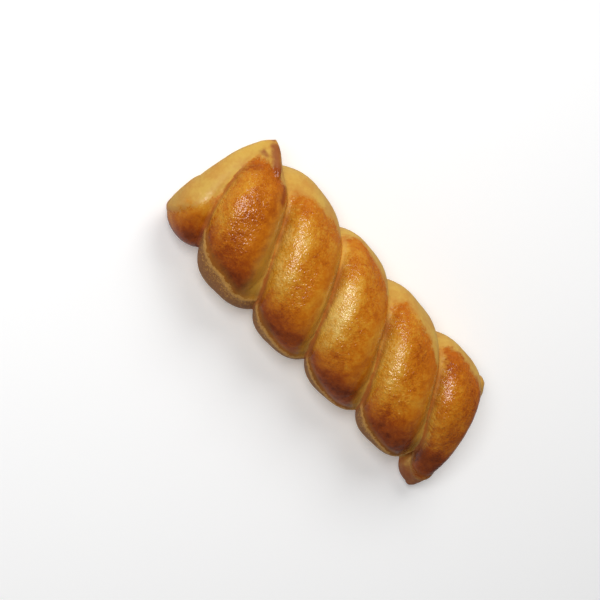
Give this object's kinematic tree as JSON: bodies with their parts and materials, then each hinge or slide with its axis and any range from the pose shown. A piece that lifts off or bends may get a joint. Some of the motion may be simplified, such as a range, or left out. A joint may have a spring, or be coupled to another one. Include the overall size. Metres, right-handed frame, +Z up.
{
  "type": "braided dunking cookie",
  "caption": "Glazed dunking biscuit of dough strands twisted round each other, with pinched ends and a flat baked underside.",
  "frame": {"origin": "middle of the outline's box, on the plane that the flat baked underside rests on", "axes": "+X along the cookie, from the end with the crescent-shaped lobe to the end with the pointed tail; +Z up from the underside"},
  "size_m": [0.102, 0.036, 0.0244],
  "materials": {
    "baked_dough": "glossy egg wash over golden-brown crust"
  },
  "bodies": {
    "root": {"twisted_cookie": "baked_dough"}
  },
  "joints": []
}
